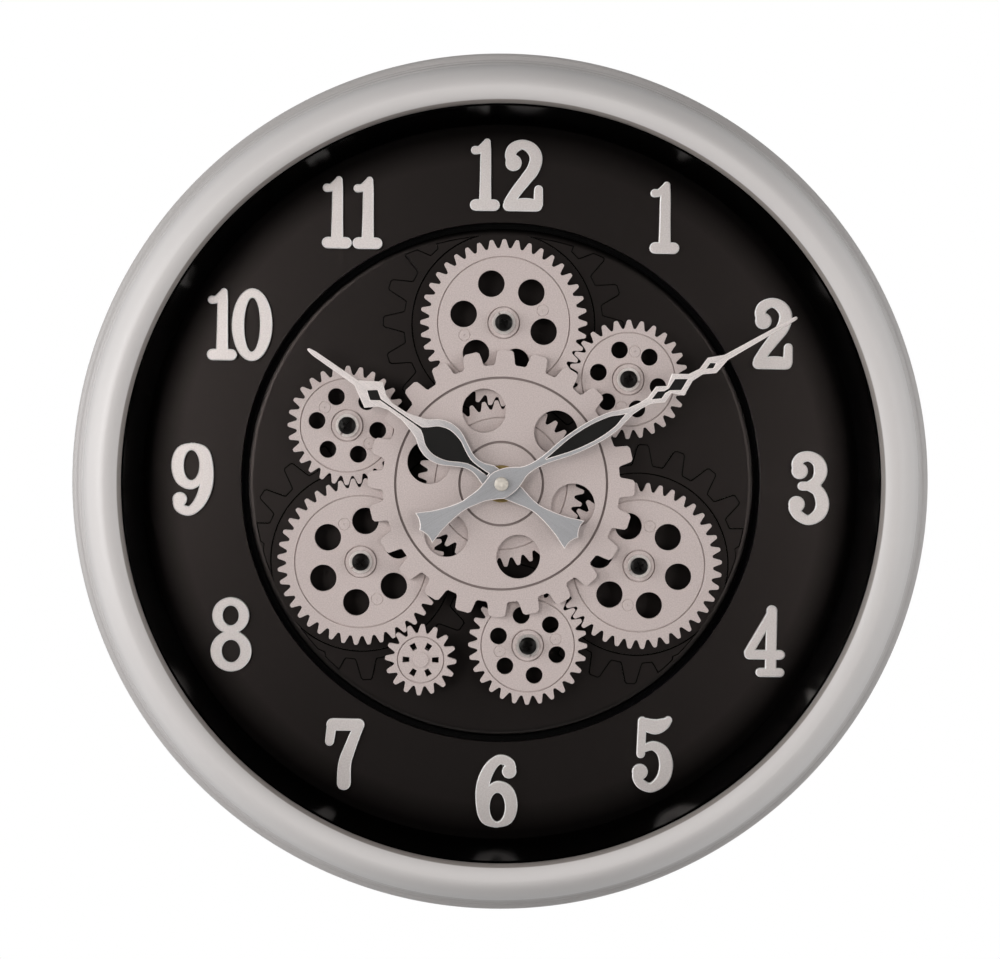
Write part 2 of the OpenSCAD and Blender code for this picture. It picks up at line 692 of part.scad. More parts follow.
module coarse_gear() {
    outer_line_r = coarse_hole_ring_r + coarse_hole_r + 7.8 * line_width;
    inner_line_r = coarse_hole_ring_r - coarse_hole_r - 10 * line_width;
    stand_up() color(gear_silver) rotate(coarse_gear_angle) difference() {
        union() {
            plate(coarse_back, coarse_face) polygon(gear_outline(coarse_teeth,
                coarse_tip_r - coarse_tooth_height, coarse_tooth_height, coarse_tooth_shares));
            disc(sleeve_r + boss_r, gear_face, coarse_back);
        }
        for (k = [0:5])
            rotate(60 * k) translate([coarse_hole_ring_r, 0])
                disc(coarse_hole_r, coarse_back - cut, coarse_face + cut);
        ring_line(outer_line_r, coarse_face, 2 * line_width, line_depth);
        ring_line(inner_line_r, coarse_face, 2 * line_width, line_depth);
        disc(sleeve_r + run_clearance, gear_face - cut, coarse_face + cut);
    }
}

module drive_pinion() {
    tip_r = pinion_pitch_r + tooth_module;
    window_low = tip_r * pinion_window_inner_share;
    window_high = tip_r * pinion_window_outer_share;
    window_width = tip_r * pinion_window_width_share;
    stand_up() color(gear_silver) translate(pinion_place) rotate(pinion_tooth_angle) difference() {
        union() {
            fine_gear_blank(pinion_teeth);
            disc(hub_r - 1.5 * line_width, disc_face + post_flange_height, gear_back);
            disc(pinion_boss_r, gear_face, gear_face + pinion_boss_height);
        }
        for (k = [0:5])
            rotate(60 * k - pinion_tooth_angle) plate(gear_back - cut, gear_face + cut) polygon([
                [window_low, -window_width / 2],
                [window_high, -window_width * 0.65],
                [window_high, window_width * 0.65],
                [window_low, window_width / 2]]);
        ring_line(pinion_line_share * pinion_pitch_r, gear_face, line_width, line_depth);
        disc(drive_shaft_r + run_clearance, disc_face, gear_face);
    }
}

module gear_posts() {
    stand_up() color(steel)
        for (p = gear_places)
            translate(p) difference() {
                union() {
                    disc(post_flange_r, disc_face, disc_face + post_flange_height);
                    disc(post_r, disc_face, post_top);
                }
                disc(screw_shank_r + run_clearance, post_top - screw_hole_depth, post_top + cut);
            }
}

module spring_washers() {
    stand_up() color(steel)
        for (i = [0:len(gear_places) - 1])
            translate(gear_places[i]) rotate(washer_split_angles[i]) difference() {
                tube(washer_r, screw_shank_r + run_clearance, post_top, post_top + washer_thickness);
                box([screw_shank_r, -washer_split / 2, post_top - cut],
                    [washer_r + cut, washer_split / 2, post_top + washer_thickness + cut]);
            }
}

module gear_screws() {
    seat = post_top + washer_thickness;
    top = seat + screw_head_height;
    stand_up() color(black)
        for (i = [0:len(gear_places) - 1])
            translate(gear_places[i]) difference() {
                union() {
                    disc(screw_shank_r, seat - screw_length, seat);
                    translate([0, 0, seat]) rotate_extrude() polygon(concat([[0, 0], [screw_head_r, 0]],
                        power_arc(0, screw_head_height / 2, screw_head_r, screw_head_height / 2,
                            2.4, 0, 90, 6)));
                }
                for (turn = [0, 90])
                    rotate(washer_split_angles[i] + turn)
                        box([-screw_slot_length / 2, -screw_slot_width / 2, top - screw_slot_depth],
                            [screw_slot_length / 2, screw_slot_width / 2, top + cut]);
            }
}

module centre_sleeve() {
    stand_up() color(steel) difference() {
        union() {
            disc(sleeve_r + post_flange_r - post_r, disc_face, disc_face + post_flange_height);
            disc(sleeve_r, disc_face, sleeve_top);
        }
        disc(stem_r + run_clearance, disc_face - cut, sleeve_top + cut);
    }
}

module centre_washer() {
    stand_up() color(brass)
        tube(washer_flat_r, stem_r + run_clearance, sleeve_top, sleeve_top + centre_washer_thickness);
}

module centre_nut() {
    stand_up() color(brass) difference() {
        translate([0, 0, sleeve_top + centre_washer_thickness])
            cylinder(r = nut_across_r, h = centre_nut_thickness, $fn = 6);
        disc(stem_r + run_clearance, sleeve_top, stem_top + cut);
    }
}

// Fixings of the board

function case_screw_places() = concat(
    [for (a = bracket_angles) polar(bracket_screw_r, a)], hanger_screws);

module board_brackets() {
    wall_r = clock_r - rim_sheet - seat_clearance;
    foot = board_back - bracket_sheet;
    stand_up() color(steel)
        for (a = bracket_angles)
            rotate(a) difference() {
                union() {
                    box([wall_r - bracket_reach, -bracket_width / 2, foot],
                        [wall_r, bracket_width / 2, board_back]);
                    box([wall_r - bracket_sheet, -bracket_width / 2, foot - bracket_height],
                        [wall_r, bracket_width / 2, board_back]);
                }
                translate([bracket_screw_r, 0, 0])
                    disc(case_screw_r + run_clearance, foot - cut, board_back + cut);
            }
}

module case_screws() {
    seats = concat([for (a = bracket_angles) board_back - bracket_sheet],
        [for (h = hanger_screws) board_back - hanger_sheet]);
    places = case_screw_places();
    stand_up() color(steel)
        for (i = [0:len(places) - 1])
            translate(places[i]) difference() {
                union() {
                    disc(case_screw_head_r, seats[i] - case_screw_head_height, seats[i]);
                    disc(case_screw_r - run_clearance, seats[i], board_back + case_screw_length - cut);
                }
                for (turn = [0, 90])
                    rotate(turn) box(
                        [-case_screw_r, -screw_slot_width / 2, seats[i] - case_screw_head_height - cut],
                        [case_screw_r, screw_slot_width / 2, seats[i] - case_screw_head_height / 2]);
            }
}

module hanger() {
    low = keyhole_height - hanger_height / 2 + keyhole_travel / 2;
    high = low + hanger_height;
    half = hanger_width / 2;
    foot = board_back - hanger_sheet;
    stand_up() color(steel) difference() {
        union() {
            box([-half, low, hanger_stand], [half, high, hanger_stand + hanger_sheet]);
            for (s = [0, 1])
                mirror([s, 0, 0]) {
                    box([half - hanger_sheet, low, hanger_stand], [half, high, board_back]);
                    box([half - hanger_sheet, low, foot], [half + hanger_foot, high, board_back]);
                }
        }
        translate([0, keyhole_height, 0])
            disc(keyhole_r, hanger_stand - cut, hanger_stand + hanger_sheet + cut);
        box([-keyhole_slot / 2, keyhole_height, hanger_stand - cut],
            [keyhole_slot / 2, keyhole_height + keyhole_travel, hanger_stand + hanger_sheet + cut]);
        translate([0, keyhole_height + keyhole_travel, 0])
            disc(keyhole_slot / 2, hanger_stand - cut, hanger_stand + hanger_sheet + cut);
        for (p = hanger_screws)
            translate(p) disc(case_screw_r + run_clearance, foot - cut, board_back + cut);
    }
}

// Quartz movement

module unit_shell(low, high, back) {
    difference() {
        box([low[0], low[1], back], [high[0], high[1], board_back]);
        box([low[0] + unit_wall, low[1] + unit_wall, back - cut],
            [high[0] - unit_wall, high[1] - unit_wall, unit_floor]);
    }
}

// Cover that fits inside the shell's walls and leaves the cell's pocket open
module unit_cover(low, high, back, pocket_top) {
    box([low[0] + unit_wall + run_clearance, pocket_top, back],
        [high[0] - unit_wall - run_clearance, high[1] - unit_wall - run_clearance, back + unit_wall]);
}

module cell(x, y) {
    nub = 1;
    nub_share = 0.38;
    translate([x - cell_length / 2, y, cell_height]) rotate([0, 90, 0]) {
        cylinder(r = cell_r, h = cell_length - nub);
        cylinder(r = cell_r * nub_share, h = cell_length);
    }
}

movement_low_corner = [-movement_side / 2, movement_low];
movement_high_corner = [movement_side / 2, movement_high];
drive_low_corner = [drive_left, drive_low];
drive_high_corner = [drive_left + drive_width, drive_high];

module movement_case() {
    rib = movement_low + 1.6 * unit_wall + cell_pocket_width;
    stand_up() color(black) difference() {
        union() {
            unit_shell(movement_low_corner, movement_high_corner, movement_back);
            box([-movement_side / 2 + unit_wall, rib - unit_wall / 2, movement_back + unit_wall],
                [movement_side / 2 - unit_wall, rib + unit_wall / 2, unit_floor]);
        }
        disc(stem_r + run_clearance, unit_floor - cut, board_back + cut);
        translate(motion_place) disc(arbor_r + run_clearance, unit_floor - cut, board_back + cut);
    }
}

module movement_cover() {
    stand_up() color(black) difference() {
        unit_cover(movement_low_corner, movement_high_corner, movement_back,
            movement_low + 1.6 * unit_wall + cell_pocket_width - unit_wall / 2);
        disc(minute_shaft_r + run_clearance, movement_back - cut, movement_back + unit_wall + cut);
        translate(motion_place)
            disc(arbor_r + run_clearance, movement_back - cut, movement_back + unit_wall + cut);
        translate(knob_place)
            disc(knob_shaft_r + run_clearance, movement_back - cut, movement_back + unit_wall + cut);
    }
}

module movement_stem() {
    stand_up() color(brass) difference() {
        union() {
            disc(stem_r, unit_floor, stem_top);
            disc(stem_flange_r, unit_floor - stem_flange_height, unit_floor);
        }
        disc(hour_tube_r + run_clearance, unit_floor - stem_flange_height - cut, stem_top + cut);
    }
}

module movement_circuit() {
    x = circuit_x;
    stand_up() {
        color([0.1, 0.35, 0.2]) box(
            [x - circuit_width / 2, circuit_y - circuit_height / 2, unit_floor - circuit_thickness],
            [x + circuit_width / 2, circuit_y + circuit_height / 2, unit_floor]);
        color([0.7, 0.4, 0.2])
            translate([x, circuit_y - coil_length / 2, unit_floor - circuit_thickness - coil_r])
                rotate([-90, 0, 0]) cylinder(r = coil_r, h = coil_length);
    }
}

module movement_cell() {
    stand_up() color([0.75, 0.55, 0.25]) cell(0, movement_cell_y);
}

module wheel(teeth, unit, from) {
    plate(from, from + wheel_thickness)
        polygon(gear_outline(teeth, unit * teeth / 2, unit, wheel_tooth_shares));
}

module minute_shaft() {
    stand_up() color(steel) {
        disc(minute_shaft_r, movement_back + cut / 2,
            minute_hand_back + hand_thickness + hand_cap_thickness / 2);
        rotate(cannon_tooth_angle) wheel(cannon_teeth, wheel_module, wheel_back);
    }
}

module motion_wheel() {
    stand_up() color([0.85, 0.85, 0.8]) translate(motion_place) {
        disc(arbor_r, movement_back + cut / 2, board_back - cut / 2);
        rotate(motion_tooth_angle) {
            wheel(motion_teeth, wheel_module, wheel_back);
            wheel(motion_pinion_teeth, hour_module, wheel_back + wheel_thickness + seat_clearance);
            disc(motion_pinion_teeth * hour_module / 3, wheel_back, hour_wheel_back + wheel_thickness);
        }
    }
}

module hour_tube() {
    stand_up() color([0.85, 0.85, 0.8]) difference() {
        union() {
            disc(hour_tube_r, hour_wheel_back, hour_hand_back + hand_thickness);
            rotate(hour_tooth_angle) wheel(hour_wheel_teeth, hour_module, hour_wheel_back);
        }
        disc(minute_shaft_r + run_clearance, hour_wheel_back - cut, hour_hand_back + 2 * hand_thickness);
    }
}

module setting_knob() {
    knob_face = movement_back - seat_clearance;
    stand_up() color(black) translate(knob_place) {
        difference() {
            disc(knob_r, knob_face - knob_thickness, knob_face);
            for (k = [1:knob_grips])
                rotate(k * 360 / knob_grips) translate([knob_r + knob_grip_r / 2, 0])
                    disc(knob_grip_r, knob_face - knob_thickness - cut, knob_face + cut);
        }
        disc(knob_shaft_r, knob_face - knob_thickness / 2, wheel_back + wheel_thickness);
        rotate(knob_tooth_angle) wheel(cannon_teeth, wheel_module, wheel_back);
    }
}

// Battery drive of the display gears

module drive_case() {
    rib = drive_low + 1.6 * unit_wall + cell_pocket_width;
    stand_up() color(black) difference() {
        union() {
            unit_shell(drive_low_corner, drive_high_corner, drive_back);
            box([drive_left + unit_wall, rib - unit_wall / 2, drive_back + unit_wall],
                [drive_left + drive_width - unit_wall, rib + unit_wall / 2, unit_floor]);
        }
        translate(pinion_place) disc(drive_shaft_r + run_clearance, unit_floor - cut, board_back + cut);
    }
}

module drive_cover() {
    stand_up() color(black) difference() {
        unit_cover(drive_low_corner, drive_high_corner, drive_back,
            drive_low + 1.6 * unit_wall + cell_pocket_width - unit_wall / 2);
        translate(pinion_place)
            disc(drive_shaft_r + run_clearance, drive_back - cut, drive_back + unit_wall + cut);
        box([switch_place[0] - switch_slot_length / 2, switch_place[1] - switch_slot_width / 2,
                drive_back - cut],
            [switch_place[0] + switch_slot_length / 2, switch_place[1] + switch_slot_width / 2,
                drive_back + unit_wall + cut]);
    }
}

module drive_motor() {
    stand_up() color(steel) translate(motor_place) difference() {
        disc(motor_r, motor_back, motor_back + motor_height);
        disc(motor_shaft_r + run_clearance, motor_back + unit_wall, motor_back + motor_height + cut);
    }
}

module motor_pinion() {
    stand_up() color(brass) translate(motor_place) {
        disc(motor_shaft_r, motor_back + 1.5 * unit_wall, drive_wheel_back + wheel_thickness);
        rotate(motor_tooth_angle) wheel(motor_teeth, drive_wheel_module, drive_wheel_back);
    }
}

module drive_shaft() {
    stand_up() color(steel) translate(pinion_place) {
        disc(drive_shaft_r, drive_back + cut / 2, gear_face - run_clearance);
        wheel(drive_wheel_teeth, drive_wheel_module, drive_wheel_back);
    }
}

module drive_cell() {
    stand_up() color([0.75, 0.55, 0.25]) cell(drive_cell_x, drive_cell_y);
}

module drive_switch() {
    slot_end = switch_slot_length / 2 - seat_clearance;
    x = switch_place[0];
    y = switch_place[1];
    base = drive_back + unit_wall + seat_clearance;
    stand_up() color([0.75, 0.75, 0.72]) {
        box([x - slot_end, y - switch_slot_width / 2 + seat_clearance, drive_back - unit_wall],
            [x - slot_end + switch_grip_length, y + switch_slot_width / 2 - seat_clearance, base]);
        box([x - slot_end - face_gap, y - switch_base_width / 2, base],
            [x - slot_end - face_gap + switch_base_length - switch_travel, y + switch_base_width / 2,
                base + switch_base_height]);
    }
}

// Contact plate with its conical spring, which presses on the end of a cell
module contact(side, cell_end, wall_end, y) {
    length = abs(wall_end - cell_end) - contact_sheet - run_clearance;
    translate([wall_end, y, cell_height]) rotate([0, -90 * side, 0]) {
        translate([-contact_width / 2, -contact_width / 2, 0])
            cube([contact_width, contact_width, contact_sheet]);
        translate([0, 0, contact_sheet])
            cylinder(r1 = contact_cone_r, r2 = contact_cone_tip_r, h = length);
    }
}

module battery_contacts() {
    stand_up() color(steel)
        for (side = [-1, 1]) {
            contact(side, side * cell_length / 2, side * (movement_side / 2 - unit_wall), movement_cell_y);
            contact(side, drive_cell_x + side * cell_length / 2,
                drive_cell_x + side * (drive_width / 2 - unit_wall), drive_cell_y);
        }
}

// Hands, drawn along +x from the axis

hour_hub_width = 3.6;
hour_hub_r = hour_tube_r + hour_hub_width;
hour_hand_angle = 146;
minute_hand_angle = 30.3;
// Points [distance, half width] in shares of the hand's or the tail's length
hour_edge_shares = [[0.965, 0.011], [0.75, 0.013]];
hour_diamond_shares = [[0.66, 0.067], [0.615, 0.03], [0.575, 0.017]];
hour_loop_shares = [[0.5, 0.019], [0.455, 0.032], [0.41, 0.048], [0.37, 0.076], [0.32, 0.091],
    [0.265, 0.084], [0.21, 0.056], [0.165, 0.034], [0.12, 0.03], [0.07, 0.047]];
hour_hole_shares = [[0.412, 0.005], [0.39, 0.02], [0.355, 0.049], [0.307, 0.062], [0.25, 0.052],
    [0.205, 0.028], [0.165, 0.01], [0.12, 0.005], [0.07, 0.006]];
hour_slit_share = 0.0028;
hour_window_shares = [[0.692, 0], [0.658, 0.026], [0.624, 0.003]];
tail_shares = [[0.1, 0.125], [0.26, 0.09], [0.38, 0.062], [0.495, 0.052], [0.645, 0.074], [0.82, 0.12],
    [0.93, 0.165], [1.006, 0.195]];
tail_end_shares = [[1.003, 0.14], [1.012, 0.085], [1.035, 0.035], [1.062, 0]];

module hour_outline() {
    l = hour_length;
    t = tail_length;
    polygon(mirrored(concat(
        [[l, 0], [l * 0.995, l * 0.006]],
        l * hour_edge_shares,
        l * hour_diamond_shares,
        l * curve(hour_loop_shares, 4),
        [for (p = curve(tail_shares, 3)) t * [-p[0], p[1]]],
        [for (p = curve(tail_end_shares, 2)) t * [-p[0], p[1]]])));
}

module hour_openings() {
    l = hour_length;
    slit = l * hour_slit_share;
    polygon(mirrored(concat(l * hour_window_shares, [[l * 0.6, slit]],
        [[l * 0.45, slit]], l * curve(hour_hole_shares, 4))));
}

leaf_shares = [[0.44, 0.0115], [0.41, 0.02], [0.375, 0.03], [0.315, 0.035], [0.235, 0.03], [0.165, 0.0165],
    [0.14, 0.0125], [0.115, 0.0108], [0.095, 0.0118], [0.075, 0.0165], [0.055, 0.027], [0.03, 0.0375],
    [0, 0.0425]];
leaf_hole_shares = [[0.42, 0], [0.4, 0.007], [0.37, 0.017], [0.31, 0.0225], [0.24, 0.018],
    [0.165, 0.003], [0.152, 0.001]];
first_diamond_shares = [[0.538, 0.027], [0.5, 0.0105], [0.47, 0.009]];
second_diamond_shares = [[0.64, 0.0115], [0.597, 0.037], [0.567, 0.012]];
third_diamond_shares = [[0.76, 0.009], [0.712, 0.026], [0.675, 0.0095]];
first_window_shares = [[0.552, 0.003], [0.535, 0.0115], [0.508, 0]];
second_window_shares = [[0.63, 0], [0.597, 0.0185], [0.568, 0.003]];
third_window_shares = [[0.725, 0], [0.711, 0.0085], [0.692, 0]];
minute_tail_shares = concat([[0.06, 0.155], [0.14, 0.12], [0.26, 0.078]],
    [for (i = [2:len(tail_shares) - 1]) tail_shares[i]]);

module minute_outline() {
    l = minute_length;
    t = tail_length;
    polygon(mirrored(concat(
        [[l, 0], [l * 0.998, l * 0.004], [l * 0.99, l * 0.0055]],
        l * third_diamond_shares,
        l * second_diamond_shares,
        l * first_diamond_shares,
        l * curve(leaf_shares, 4),
        [for (p = curve(minute_tail_shares, 3)) t * [-p[0], p[1]]],
        [for (p = curve(tail_end_shares, 2)) t * [-p[0], p[1]]])));
}

module minute_openings() {
    l = minute_length;
    polygon(mirrored(l * concat(second_window_shares, first_window_shares)));
    polygon(mirrored(l * third_window_shares));
    polygon(mirrored(l * curve(leaf_hole_shares, 4)));
}

module hour_hand() {
    stand_up() color(steel) rotate(hour_hand_angle)
        difference() {
            plate(hour_hand_back, hour_hand_back + hand_thickness) difference() {
                union() {
                    hour_outline();
                    circle(r = hour_hub_r);
                }
                hour_openings();
            }
            disc(hour_tube_r + run_clearance, hour_hand_back - cut, hour_hand_back + 2 * hand_thickness);
        }
}

module minute_hand() {
    stand_up() color(steel) rotate(minute_hand_angle)
        difference() {
            plate(minute_hand_back, minute_hand_back + hand_thickness) difference() {
                minute_outline();
                minute_openings();
            }
            disc(minute_shaft_r + run_clearance, minute_hand_back - cut,
                minute_hand_back + 2 * hand_thickness);
        }
}

infill_share = 0.6;

module hour_hand_infill() {
    stand_up() color(black) rotate(hour_hand_angle) difference() {
        plate(hour_hand_back, hour_hand_back + hand_thickness * infill_share) hour_openings();
        disc(hour_tube_r + 4 * run_clearance, hour_hand_back - cut, hour_hand_back + hand_thickness);
    }
}

module minute_hand_infill() {
    stand_up() color(black) rotate(minute_hand_angle)
        plate(minute_hand_back, minute_hand_back + hand_thickness * infill_share) minute_openings();
}

module hand_cap() {
    seat = minute_hand_back + hand_thickness;
    stand_up() color(steel) difference() {
        translate([0, 0, seat]) rotate_extrude() polygon(concat([[0, 0], [hand_cap_r, 0]],
            power_arc(0, hand_cap_thickness / 2, hand_cap_r, hand_cap_thickness / 2, 3, 0, 90, 6)));
        disc(minute_shaft_r + run_clearance, seat - cut, seat + hand_cap_thickness / 2 + run_clearance);
    }
}

rim();
glass();
glass_retainer();
inner_wall();
dial_board();
numeral_ring();
centre_disc();
numeral(1);  // numeral_1
numeral(2);  // numeral_2
numeral(3);  // numeral_3
numeral(4);  // numeral_4
numeral(5);  // numeral_5
numeral(6);  // numeral_6
numeral(7);  // numeral_7
numeral(8);  // numeral_8
numeral(9);  // numeral_9
numeral(10);  // numeral_10
numeral(11);  // numeral_11
numeral(12);  // numeral_12
board_brackets();
case_screws();
hanger();
gear_posts();
spring_washers();
gear_screws();
centre_sleeve();
centre_washer();
centre_nut();
coarse_gear();
centre_gear();
posted_gear(large_teeth, planet_hole_r, planet_hole_share, planet_places[0], planet_tooth_angles[0]);  // top_gear
posted_gear(large_teeth, planet_hole_r, planet_hole_share, planet_places[1], planet_tooth_angles[1]);  // right_gear
posted_gear(large_teeth, planet_hole_r, planet_hole_share, planet_places[2], planet_tooth_angles[2]);  // left_gear
posted_gear(small_teeth, small_hole_r, small_hole_share, small_places[0], small_tooth_angles[0]);  // small_gear_right
posted_gear(small_teeth, small_hole_r, small_hole_share, small_places[1], small_tooth_angles[1]);  // small_gear_bottom
posted_gear(small_teeth, small_hole_r, small_hole_share, small_places[2], small_tooth_angles[2]);  // small_gear_left
drive_pinion();
drive_shaft();
motor_pinion();
drive_case();
drive_cover();
drive_motor();
drive_cell();
drive_switch();
battery_contacts();
movement_case();
movement_cover();
movement_stem();
movement_circuit();
movement_cell();
motion_wheel();
hour_tube();
minute_shaft();
setting_knob();
hour_hand();
hour_hand_infill();
minute_hand();
minute_hand_infill();
hand_cap();
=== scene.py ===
"""Looks of the gear wall clock: a silver rim, a black dial with raised numerals and a train of display gears.

The CAD nodes give every shape. Copies of them get rounded edges, the rim is drawn anew as a smooth turned
surface, and every finish is procedural, in object coordinates, metres."""

import json
import math

import bmesh
import bpy
import numpy as np
from mathutils import Euler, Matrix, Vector


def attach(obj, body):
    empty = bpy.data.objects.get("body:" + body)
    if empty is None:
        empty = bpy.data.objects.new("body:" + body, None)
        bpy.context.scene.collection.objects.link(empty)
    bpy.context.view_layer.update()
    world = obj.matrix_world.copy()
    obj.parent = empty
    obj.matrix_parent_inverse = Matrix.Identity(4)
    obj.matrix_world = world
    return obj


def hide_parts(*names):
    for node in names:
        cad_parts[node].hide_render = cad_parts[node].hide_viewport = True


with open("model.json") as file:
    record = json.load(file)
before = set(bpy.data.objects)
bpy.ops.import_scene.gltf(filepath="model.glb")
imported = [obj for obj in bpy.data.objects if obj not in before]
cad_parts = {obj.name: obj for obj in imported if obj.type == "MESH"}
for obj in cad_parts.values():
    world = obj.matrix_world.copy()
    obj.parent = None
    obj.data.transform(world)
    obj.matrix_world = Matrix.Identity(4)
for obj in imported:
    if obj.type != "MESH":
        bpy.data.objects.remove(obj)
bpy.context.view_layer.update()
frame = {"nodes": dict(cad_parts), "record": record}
nodes = frame["nodes"]

MM = 0.001
GEARS = ["coarse_gear", "centre_gear", "top_gear", "right_gear", "left_gear", "small_gear_right",
         "small_gear_bottom", "small_gear_left", "drive_pinion"]
NUMERALS = ["numeral_%d" % n for n in range(1, 13)]

# Radii in mm
# Painted shade on the rim: the band next to the glass, then the outer slope toward the bead
LIP_PAINTED_SHADE = (199.2, 199.6)
BEAD_PAINTED_SHADE = (215.0, 225.0)
# Painted shade on the dial: on the ring near the wall, on the disc by the groove
RING_PAINTED_SHADE = (172.0, 187.5)
DISC_PAINTED_SHADE = (132.0, 137.4)
# Radii of the coarse gear's ring grooves, which get painted shade, and the half widths over which it fades
COARSE_GROOVE_SHADE_RADII = (22.0, 55.88)
COARSE_GROOVE_SHADE_HALF = (0.55, 0.65)

# Hands: angle from the x axis in degrees, length in mm, and where along it a painted highlight turns the grey
# light
HOUR_HAND_ANGLE = 146.0
MINUTE_HAND_ANGLE = 30.3
HOUR_HAND_LENGTH = 100.0
MINUTE_HAND_LENGTH = 146.0
HAND_PAINTED_LIGHT_SHARES = (0.3, 0.62)

# Camera: focal length in pixels of the photograph, sensor width in mm, place in mm and turn in degrees
FOCAL_PIXELS = 2521.4
PHOTO_WIDTH = 1000
SENSOR_WIDTH = 36.0
CAMERA_PLACE = (-14.6, -1381.76, 29.84)
CAMERA_TURN = (90 - 1.190, -0.9078, -0.5806)


# Shader helpers

class Signal:
    """A shader output that takes part in arithmetic like a number."""

    def __init__(self, shader, socket):
        self.shader = shader
        self.socket = socket

    def math(self, operation, *others, clamp=False):
        return self.shader.node("ShaderNodeMath", {"operation": operation, "use_clamp": clamp},
                                dict(enumerate((self,) + others)))

    def __add__(self, other):
        return self.math("ADD", other)

    def __sub__(self, other):
        return self.math("SUBTRACT", other)

    def __mul__(self, other):
        return self.math("MULTIPLY", other)

    def __truediv__(self, other):
        return self.math("DIVIDE", other)


class Shader:
    """The node tree of a material or world. node() adds a node by type, settings and inputs."""

    def __init__(self, owner):
        owner.use_nodes = True
        self.owner = owner
        self.tree = owner.node_tree
        self.tree.nodes.clear()

    def node(self, kind, settings=None, inputs=None, output=0):
        node = self.tree.nodes.new(kind)
        for name, value in (settings or {}).items():
            setattr(node, name, value)
        for key, value in (inputs or {}).items():
            if isinstance(value, Signal):
                self.tree.links.new(value.socket, node.inputs[key])
            else:
                node.inputs[key].default_value = value
        return Signal(self, node.outputs[output])

    def place(self, turn=0.0, stretch=(1.0, 1.0, 1.0)):
        """Object coordinates turned by an angle in degrees about the clock's axis, then scaled."""
        coords = self.node("ShaderNodeTexCoord", output="Object")
        turned = self.node("ShaderNodeVectorRotate", {"rotation_type": "AXIS_ANGLE"},
                           {"Vector": coords, "Axis": (0.0, -1.0, 0.0), "Angle": -math.radians(turn)})
        return self.node("ShaderNodeVectorMath", {"operation": "MULTIPLY"}, {0: turned, 1: stretch})

    def radius(self):
        """Distance from the clock's axis in object coordinates."""
        flat = self.place(0.0, (1.0, 0.0, 1.0))
        return self.node("ShaderNodeVectorMath", {"operation": "LENGTH"}, {0: flat}, output="Value")

    def axis(self, letter, turn=0.0):
        """One of the object coordinates, turned by an angle in degrees about the clock's axis."""
        return self.node("ShaderNodeSeparateXYZ", None, {0: self.place(turn)}, output=letter)

    def noise(self, scale, detail=2.0, roughness=0.5, vector=None):
        inputs = {"Vector": vector or self.place(), "Scale": scale, "Detail": detail, "Roughness": roughness}
        return self.node("ShaderNodeTexNoise", None, inputs)

    def ramp(self, value, low, high, to_low=0.0, to_high=1.0):
        return self.node("ShaderNodeMapRange", {"clamp": True}, {
            "Value": value, "From Min": low, "From Max": high, "To Min": to_low, "To Max": to_high})

    def span(self, value, limits, to_low=0.0, to_high=1.0):
        """A ramp between two lengths given in mm."""
        return self.ramp(value, limits[0] * MM, limits[1] * MM, to_low, to_high)

    def mix(self, factor, first, second):
        colours = {"Factor": factor, 6: first, 7: second}
        return self.node("ShaderNodeMix", {"data_type": "RGBA"}, colours, output=2)

    def bump(self, height, strength, distance):
        inputs = {"Strength": strength, "Distance": distance, "Height": height}
        return self.node("ShaderNodeBump", None, inputs)

    def finish(self, surface):
        output = self.tree.nodes.new("ShaderNodeOutputMaterial")
        self.tree.links.new(surface.socket, output.inputs["Surface"])
        return self.owner


def material(name):
    return Shader(bpy.data.materials.new(name))


def colour(red, green, blue):
    """Linear colour of an sRGB colour given in 0 to 255."""
    def linear(level):
        return ((level / 255 + 0.055) / 1.055) ** 2.4 if level > 10 else level / 3294.6

    return (linear(red), linear(green), linear(blue), 1.0)


def principled(shader, **inputs):
    names = {"base": "Base Color", "metal": "Metallic", "rough": "Roughness", "normal": "Normal",
             "coat": "Coat Weight", "coat_rough": "Coat Roughness", "specular": "Specular IOR Level",
             "tint": "Specular Tint"}
    named = {names[key]: value for key, value in inputs.items()}
    return shader.node("ShaderNodeBsdfPrincipled", None, named)


def shade(base, factor):
    """The same colour, lighter or darker."""
    return tuple(min(1.0, factor * level) for level in base[:3]) + (1.0,)


def grained(name, base, metal=0.0, rough=0.5, specular=0.5, relief=0.05):
    """One tone with fine grain, faint clouds in its colour and gloss, and a slight texture."""
    s = material(name)
    grain = s.noise(900.0, 3.0, 0.6)
    cloud = s.noise(45.0, 3.0)
    tone = s.mix(s.ramp(grain * 0.5 + cloud * 0.5, 0.36, 0.64), shade(base, 0.85), shade(base, 1.15))
    gloss = s.ramp(cloud, 0.3, 0.7, 0.9 * rough, 1.1 * rough)
    return s.finish(principled(s, base=tone, metal=metal, rough=gloss, specular=specular,
                               normal=s.bump(grain, relief, 0.0002)))


# Finishes

def rim_paint():
    """Lacquered silver paint with a faint orange peel. Painted shade darkens the narrow band next to the glass
    and the outer slope toward the bead at the back."""
    s = material("Silver paint")
    cloud = s.noise(9.0, 3.0)
    peel = s.noise(420.0, 2.0)
    base = s.mix(s.ramp(cloud, 0.3, 0.7), colour(197, 194, 193), colour(201, 198, 197))
    # painted shade: the narrow band next to the glass, under the lip, is darker
    base = s.mix(s.span(s.radius(), LIP_PAINTED_SHADE), colour(128, 122, 118), base)
    # painted shade: the outer slope darkens toward the bead, where the view grazes it
    base = s.mix(s.span(s.radius(), BEAD_PAINTED_SHADE), base, colour(168, 165, 164))
    return s.finish(principled(s, base=base, rough=s.ramp(cloud, 0.3, 0.7, 0.56, 0.62), specular=0.2,
                               coat=0.8, coat_rough=0.5, normal=s.bump(peel, 0.05, 0.0004)))


